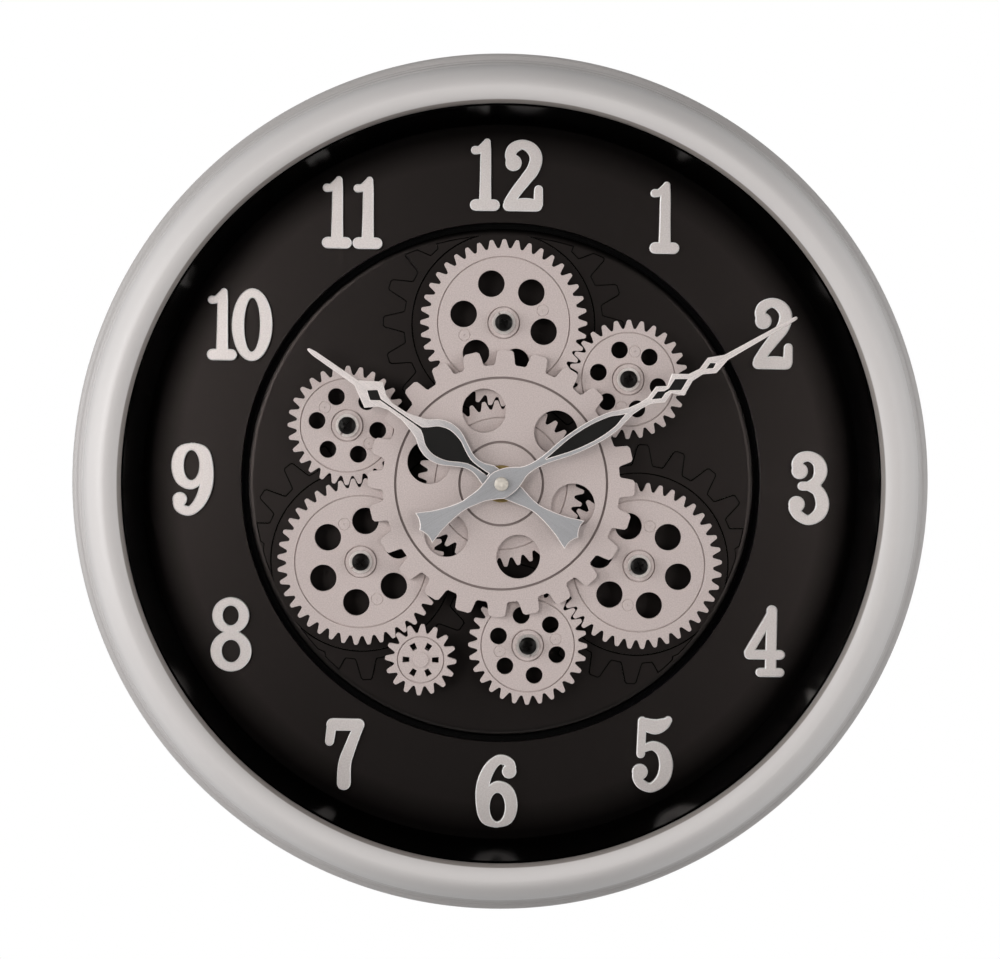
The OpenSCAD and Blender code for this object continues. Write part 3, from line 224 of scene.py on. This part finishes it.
def gear_paint(name, lines=()):
    """Warm silver paint with fine metal flake, slightly grainy, with painted shade in the ring grooves at given
    radii.
    """
    s = material(name)
    grain = s.noise(1500.0, 2.0, 0.6)
    cloud = s.noise(30.0, 3.0)
    base = s.mix(s.ramp(grain, 0.36, 0.64), colour(184, 172, 169), colour(202, 190, 187))
    base = s.mix(s.ramp(cloud, 0.3, 0.7, 0.0, 0.25), base, colour(190, 175, 172))
    # painted shade: the paint is darker in the ring grooves, where shade falls
    for line in lines:
        off = (s.radius() - line * MM).math("ABSOLUTE")
        base = s.mix(s.span(off, COARSE_GROOVE_SHADE_HALF), colour(128, 116, 113), base)
    return s.finish(principled(s, base=base, metal=0.1, rough=0.5, normal=s.bump(grain, 0.12, 0.0002)))


def numeral_paint():
    """Light silver paint, a little warm."""
    s = material("Numeral paint")
    grain = s.noise(1200.0, 2.0)
    base = s.mix(s.ramp(grain, 0.35, 0.65), colour(230, 224, 222), colour(240, 235, 233))
    return s.finish(principled(s, base=base, metal=0.85, rough=0.43, normal=s.bump(grain, 0.06, 0.0002)))


def dial_paint(name, radii, share):
    """Satin black paint with a very fine texture. From an inner to an outer radius a share of it is a black
    metal,
    which has no sheen: painted shade, for the rim's shadow near the wall and the darkening toward the groove."""
    s = material(name)
    grain = s.noise(1400.0, 3.0, 0.6)
    base = s.mix(s.ramp(grain, 0.3, 0.7), colour(2, 2, 2), colour(5, 4, 4))
    # painted shade: the sheen fades out between the two radii
    faded_sheen_shade = s.span(s.radius(), radii, 0.0, share)
    return s.finish(principled(s, base=base, metal=faded_sheen_shade, rough=0.34, tint=(1.0, 0.87, 0.83, 1.0),
                               normal=s.bump(grain, 0.06, 0.0002)))


def brushed(name, turn, length):
    """Aluminium brushed along a hand that points at an angle from the x axis: grey about the axis, with a
    painted highlight that makes it light toward the tip, and scratches along and across."""
    s = material(name)
    lines = s.noise(60.0, 3.0, 0.7, s.place(turn, (1.0, 60.0, 60.0)))
    cloud = s.noise(40.0, 2.0)
    along = s.axis("X", turn)
    # painted highlight: the hand turns light toward its tip
    light = s.span(along, [share * length for share in HAND_PAINTED_LIGHT_SHARES])
    tone = s.mix(light, colour(178, 179, 182), colour(243, 234, 231))
    across = s.noise(45.0, 3.0, 0.7, s.place(turn, (40.0, 3.0, 40.0)))
    scratch = s.ramp(lines, 0.35, 0.65, 0.0, 0.35) + s.ramp(across, 0.5, 0.68, 0.0, 0.3)
    base = s.mix(scratch, tone, colour(144, 143, 145))
    return s.finish(principled(s, base=base, metal=0.3, rough=s.ramp(cloud, 0.3, 0.7, 0.32, 0.42),
                               normal=s.bump(lines, 0.05, 0.0002)))


def board_paint():
    """Dead black paint, a little greyer on the back."""
    s = material("Board paint")
    grain = s.noise(300.0, 4.0, 0.6)
    depth = s.axis("Y")
    back = max(corner[1] for corner in nodes["dial_board"].bound_box)
    rear = s.mix(s.ramp(grain, 0.35, 0.65), colour(20, 19, 18), colour(32, 30, 29))
    base = s.mix(s.span(depth - back, (-0.3, -0.1)), colour(3, 3, 3), rear)
    return s.finish(principled(s, base=base, rough=0.6, specular=0.05, normal=s.bump(grain, 0.2, 0.0003)))


def cell_wrap(node):
    """Wrap of a dry cell: black, with a copper band next to the button and bare ends."""
    s = material(node.replace("_", " ") + " wrap")
    ends = [corner[0] for corner in nodes[node].bound_box]
    along = s.axis("X")
    share = (along - min(ends)) / (max(ends) - min(ends))
    cloud = s.noise(60.0, 3.0)
    wrap = s.mix(s.ramp(share, 0.7, 0.705), colour(26, 26, 28), colour(190, 118, 66))
    bare = s.ramp(share, 0.018, 0.016) + s.ramp(share, 0.962, 0.964)
    base = s.mix(bare, wrap, colour(196, 198, 200))
    return s.finish(principled(s, base=base, metal=s.ramp(share, 0.7, 0.705, 0.1, 0.8),
                               rough=s.ramp(cloud, 0.3, 0.7, 0.26, 0.36)))


def clear_glass():
    """A thin clear pane: nearly all passes straight through, a little is mirrored."""
    s = material("Clear glass")
    through = s.node("ShaderNodeBsdfTransparent", None, {"Color": (1.0, 1.0, 1.0, 1.0)})
    mirrored = s.node("ShaderNodeBsdfGlossy", None, {"Roughness": 0.02, "Color": (1.0, 1.0, 1.0, 1.0)})
    facing = s.node("ShaderNodeLayerWeight", None, {"Blend": 0.15}, output="Fresnel")
    return s.finish(s.node("ShaderNodeMixShader", None, {0: facing * 0.08, 1: through, 2: mirrored}))


silver = rim_paint()
gear_silver = gear_paint("Gear paint")
coarse_silver = gear_paint("Coarse gear paint with groove shade", COARSE_GROOVE_SHADE_RADII)
numeral_silver = numeral_paint()
# painted shade on the ring near the wall and on the disc's edge by the groove
ring_black = dial_paint("Ring paint", RING_PAINTED_SHADE, 0.84)
disc_black = dial_paint("Disc paint", DISC_PAINTED_SHADE, 1.0)
gloss_black = grained("Gloss black", colour(1, 1, 1), rough=0.2, specular=0.06, relief=0.01)
# painted shade: a black metal without sheen on the sloping borders of the disc's relief
relief_edge_shade = grained("Relief edge painted shade", colour(3, 3, 3), metal=0.93, rough=0.5)
infill_black = grained("Infill black", colour(7, 6, 5), rough=0.5, specular=0.25)
black_plastic = grained("Black plastic", colour(30, 30, 30), rough=0.55, relief=0.25)
white_plastic = grained("Natural plastic", colour(205, 204, 196), rough=0.45)
steel = grained("Plated steel", colour(200, 202, 204), metal=0.9, rough=0.28)
screw_black = grained("Black screw", colour(15, 14, 13), rough=0.3, specular=0.12)
washer_silver = grained("Washer silver", colour(236, 230, 226), metal=0.8, rough=0.35)
brass = grained("Brass", colour(196, 170, 110), metal=0.9, rough=0.3)
circuit_green = grained("Circuit green", colour(52, 92, 60), rough=0.4)
hour_metal = brushed("Hour hand", HOUR_HAND_ANGLE, HOUR_HAND_LENGTH)
minute_metal = brushed("Minute hand", MINUTE_HAND_ANGLE, MINUTE_HAND_LENGTH)
# painted highlight on the sloping borders of the hands
hand_edge_highlight = grained("Hand edge painted highlight", colour(236, 228, 225), rough=0.3)
# painted highlight on the sloping borders of the numerals
numeral_edge_highlight = grained("Numeral edge painted highlight", colour(255, 254, 252), rough=0.35)
cap_metal = grained("Hand cap", colour(200, 194, 184), metal=0.2, rough=0.5)

FINISHES = {
    "glass": clear_glass(), "glass_retainer": gloss_black, "inner_wall": gloss_black,
    "dial_board": board_paint(), "numeral_ring": ring_black, "centre_disc": disc_black,
    "board_brackets": steel, "case_screws": steel, "hanger": steel, "gear_posts": steel,
    "spring_washers": washer_silver, "gear_screws": screw_black, "centre_sleeve": steel,
    "centre_washer": brass, "centre_nut": brass, "drive_shaft": steel, "motor_pinion": brass,
    "drive_case": black_plastic, "drive_cover": black_plastic, "drive_motor": steel,
    "drive_cell": cell_wrap("drive_cell"), "drive_switch": white_plastic, "battery_contacts": steel,
    "movement_case": black_plastic, "movement_cover": black_plastic, "movement_stem": brass,
    "movement_circuit": circuit_green, "movement_cell": cell_wrap("movement_cell"),
    "motion_wheel": white_plastic, "hour_tube": white_plastic, "minute_shaft": brass,
    "setting_knob": black_plastic, "hour_hand": hour_metal, "hour_hand_infill": infill_black,
    "minute_hand": minute_metal, "minute_hand_infill": infill_black, "hand_cap": cap_metal,
}
FINISHES.update({name: gear_silver for name in GEARS})
FINISHES["coarse_gear"] = coarse_silver
FINISHES.update({name: numeral_silver for name in NUMERALS})


# Shapes

def body_of(node):
    bodies = frame["record"]["behaviour"]["bodies"]
    return next(body for body, members in bodies.items() if node in members)


def slot_of(node):
    return next(p["material_slot"] for p in frame["record"]["subparts"] if p["node"] == node)


def keep(piece, node, *finishes):
    """Puts a piece that stands for a CAD node on the node's body and hides the node. It gets a finish for each
    material index of its faces.
    """
    for finish in finishes:
        piece.data.materials.append(finish)
    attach(piece, body_of(node))
    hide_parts(node)
    slot_of(node)
    return piece


def slope_front(work, width, drop):
    """Gives the frontmost flat faces a sloping border: inset by a width, with the outer points set back by a
    drop. The border takes the second finish."""
    facing = [face for face in work.faces if face.normal.y < -0.99]
    front = min(face.calc_center_median().y for face in facing)
    flat = [face for face in facing if face.calc_center_median().y < front + 0.01 * MM]
    border = bmesh.ops.inset_region(work, faces=flat, thickness=width * MM, use_even_offset=True,
                                    use_boundary=True)["faces"]
    inner = {vert for face in flat for vert in face.verts}
    for vert in {vert for face in border for vert in face.verts} - inner:
        vert.co.y += drop * MM
    for face in border:
        face.material_index = 1
    work.normal_update()


def rounded_copy(node, finishes, width, angle=40.0, slope=None):
    """A copy of a CAD node with its doubled points merged, its flat faces joined and its edges rounded. With a
    slope its fronts get a border and are shaded flat."""
    mesh = nodes[node].data.copy()
    mesh.name = node + "_looks"
    mesh.materials.clear()
    work = bmesh.new()
    work.from_mesh(mesh)
    bmesh.ops.remove_doubles(work, verts=work.verts, dist=0.004 * MM)
    bmesh.ops.dissolve_limit(work, angle_limit=math.radians(0.3), verts=work.verts, edges=work.edges)
    if slope:
        slope_front(work, *slope)
    for face in work.faces:
        face.smooth = slope is None or face.normal.y > -0.999
    for edge in work.edges:
        if len(edge.link_faces) == 2 and edge.calc_face_angle() > math.radians(angle):
            edge.smooth = False
    work.to_mesh(mesh)
    work.free()
    piece = bpy.data.objects.new(node + "_looks", mesh)
    bpy.context.collection.objects.link(piece)
    if width:
        bevel = piece.modifiers.new("Rounded edges", "BEVEL")
        bevel.width = width * MM
        bevel.segments = 2
        bevel.limit_method = "ANGLE"
        bevel.angle_limit = math.radians(angle)
        bevel.harden_normals = True
    return keep(piece, node, *finishes)


def turned(name, profile, steps=360):
    """A surface of revolution about the clock's axis: each profile point, radius r and height z over the wall
    in mm, goes round in a circle, so point (k, j) is (r cos a, -z, r sin a) with a = 2 pi k / steps."""
    profile = np.asarray(profile, float) * MM
    turn = 2 * np.pi * np.arange(steps) / steps
    count = len(profile)
    points = np.empty((steps, count, 3))
    points[..., 0] = np.cos(turn)[:, None] * profile[None, :, 0]
    points[..., 1] = -profile[None, :, 1]
    points[..., 2] = np.sin(turn)[:, None] * profile[None, :, 0]
    here = np.arange(steps)[:, None] * count + np.arange(count)[None, :]
    beyond = np.roll(here, -1, axis=0)
    after = np.roll(here, -1, axis=1)
    corner = np.roll(beyond, -1, axis=1)
    faces = np.stack([here, beyond, corner, after], axis=-1).reshape(-1, 4)
    mesh = bpy.data.meshes.new(name)
    mesh.from_pydata(points.reshape(-1, 3).tolist(), [], faces.tolist())
    mesh.polygons.foreach_set("use_smooth", np.ones(len(faces), bool))
    mesh.update()
    piece = bpy.data.objects.new(name, mesh)
    bpy.context.collection.objects.link(piece)
    return piece


def power_arc(centre, size, power, start, end, count):
    """Points of a quarter of a superellipse: centre + size * (cos a ^ (2/power), sin a ^ (2/power))."""
    a = np.radians(np.linspace(start, end, count))
    x = np.sign(np.cos(a)) * np.abs(np.cos(a)) ** (2 / power)
    y = np.abs(np.sin(a)) ** (2 / power)
    return np.stack([centre[0] + size[0] * x, centre[1] + size[1] * y], axis=1)


def rim():
    """The rim's section: a bead, two fine ledges, a rounded face and a lip turned in over the glass."""
    bead = power_arc((226, 26), (4, 4), 2, 0, 90, 10)
    face = power_arc((206, 46), (15.1, 32), 1.7, 1, 90, 48)
    lip = power_arc((206, 70.9), (8.2, 7.1), 2, 93, 178, 16)
    section = np.concatenate([
        [[228.8, 0.0], [229.0, 0.0], [229.8, 0.1], [230.0, 0.4], [230.0, 13.0], [230.0, 25.0]], bead,
        [[225.6, 30.2], [225.2, 30.8], [224.7, 39.8], [224.5, 40.8], [224.0, 41.4], [223.4, 41.7],
         [223.1, 42.1], [222.8, 43.0], [222.4, 44.6], [222.2, 45.4], [221.7, 45.9], [221.2, 46.1]], face, lip,
        [[197.8, 70.6], [198.0, 70.4], [199.4, 70.4], [204.7, 70.4], [204.8, 66.2],
         [218.4, 46.0], [219.6, 41.0], [224.8, 27.4], [224.8, 27.1], [228.8, 27.0]]])
    return keep(turned("rim_looks", section), "rim", silver)


rim()
nodes["glass"].data.materials.clear()
nodes["glass"].data.materials.append(FINISHES["glass"])

# Width in mm of each piece's rounded edges
WIDTHS = {"glass_retainer": 0.2, "inner_wall": 0.0, "numeral_ring": 0.0, "gear_screws": 0.12,
          "spring_washers": 0.15, "centre_nut": 0.3, "centre_washer": 0.2, "hand_cap": 0.15,
          "movement_case": 0.6, "drive_case": 0.6, "hanger": 0.2, "setting_knob": 0.2, "dial_board": 0.3}
WIDTHS.update({name: 0.14 for name in GEARS})
PLAIN_WIDTH = 0.1
PLAIN = ["drive_cell", "movement_cell", "battery_contacts", "movement_circuit", "motion_wheel", "hour_tube",
         "motor_pinion", "drive_shaft", "drive_motor", "movement_stem", "centre_sleeve", "gear_posts",
         "minute_shaft", "hour_hand_infill", "minute_hand_infill", "drive_switch", "board_brackets",
         "case_screws", "movement_cover", "drive_cover"]

# Width and drop in mm of the sloping border on the fronts, and its finish: painted shade on the disc's relief,
#  painted highlights on the hands and numerals
SLOPES = {"centre_disc": (0.6, 0.5), "hour_hand": (0.4, 0.3), "minute_hand": (0.4, 0.3)}
SLOPES.update({name: (0.45, 0.4) for name in NUMERALS})
EDGES = {"centre_disc": relief_edge_shade, "hour_hand": hand_edge_highlight, "minute_hand": hand_edge_highlight}
EDGES.update({name: numeral_edge_highlight for name in NUMERALS})
for node, finish in FINISHES.items():
    if node in SLOPES:
        rounded_copy(node, (finish, EDGES[node]), 0.05, angle=20.0, slope=SLOPES[node])
    elif node in WIDTHS:
        rounded_copy(node, (finish,), WIDTHS[node])
    elif node in PLAIN:
        rounded_copy(node, (finish,), PLAIN_WIDTH)


# Studio

def softbox(name, place, aim, width, height, power, tint=(1.0, 1.0, 1.0)):
    """A rectangular lamp at a place that shines toward a point."""
    light = bpy.data.lights.new(name, "AREA")
    light.shape = "RECTANGLE"
    light.size = width
    light.size_y = height
    light.energy = power
    light.color = tint
    lamp = bpy.data.objects.new(name, light)
    lamp.location = place
    lamp.rotation_euler = (Vector(aim) - Vector(place)).to_track_quat("-Z", "Y").to_euler()
    bpy.context.collection.objects.link(lamp)


WARM = (1.0, 0.955, 0.93)
softbox("Left softbox", (-2.06, -0.98, 0.25), (0, 0, 0), 1.0, 1.6, 44)
softbox("Right softbox", (2.06, -0.98, 0.25), (0, 0, 0), 1.0, 1.6, 29)
softbox("Left panel", (-1.05, -2.06, 0.4), (-1.05, 0, 0.4), 0.8, 1.3, 19, WARM)
softbox("Right panel", (1.05, -2.06, 0.05), (1.05, 0, 0.05), 0.8, 1.2, 9.2, WARM)

world = bpy.data.worlds.new("Studio")
bpy.context.scene.world = world
studio = Shader(world)
direction = studio.node("ShaderNodeTexCoord", output="Generated")
behind = studio.ramp(studio.node("ShaderNodeSeparateXYZ", None, {0: direction}, output="Y"), -0.1, 0.35)
seen = studio.node("ShaderNodeLightPath", output="Is Camera Ray")
level = studio.ramp(seen, 0.0, 1.0, behind * 0.5, 1.0)
background = studio.node("ShaderNodeBackground", None, {"Color": (1.0, 1.0, 1.0, 1.0), "Strength": level})
world_output = studio.tree.nodes.new("ShaderNodeOutputWorld")
studio.tree.links.new(background.socket, world_output.inputs["Surface"])


def floor():
    """A wide level sheet under the hanging clock, white to the camera and in reflections."""
    s = material("Studio floor")
    camera_ray = s.node("ShaderNodeLightPath", output="Is Camera Ray")
    glossy_ray = s.node("ShaderNodeLightPath", output="Is Glossy Ray")
    clear_ray = s.node("ShaderNodeLightPath", output="Is Transmission Ray")
    plain_white = s.node("ShaderNodeBsdfDiffuse", None, {"Color": (0.4, 0.4, 0.4, 1.0)})
    bright = s.node("ShaderNodeEmission", None, {"Strength": 1.0})
    seen_ray = (camera_ray + glossy_ray).math("ADD", clear_ray, clamp=True)
    s.finish(s.node("ShaderNodeMixShader", None, {0: seen_ray, 1: plain_white, 2: bright}))
    half, drop = 2.5, -1.6
    mesh = bpy.data.meshes.new("Floor")
    mesh.from_pydata([(-half, -half, drop), (half, -half, drop), (half, half, drop), (-half, half, drop)],
                     [], [(0, 1, 2, 3)])
    sheet = bpy.data.objects.new("Floor", mesh)
    mesh.materials.append(s.owner)
    bpy.context.collection.objects.link(sheet)


floor()

camera_data = bpy.data.cameras.new("Camera")
camera_data.sensor_width = SENSOR_WIDTH
camera_data.lens = FOCAL_PIXELS / PHOTO_WIDTH * SENSOR_WIDTH
camera_data.clip_start = 0.05
camera = bpy.data.objects.new("Camera", camera_data)
camera.location = [length * MM for length in CAMERA_PLACE]
camera.rotation_euler = Euler([math.radians(angle) for angle in CAMERA_TURN], "XYZ")
bpy.context.collection.objects.link(camera)
bpy.context.scene.camera = camera

bpy.context.scene.view_settings.view_transform = "Standard"
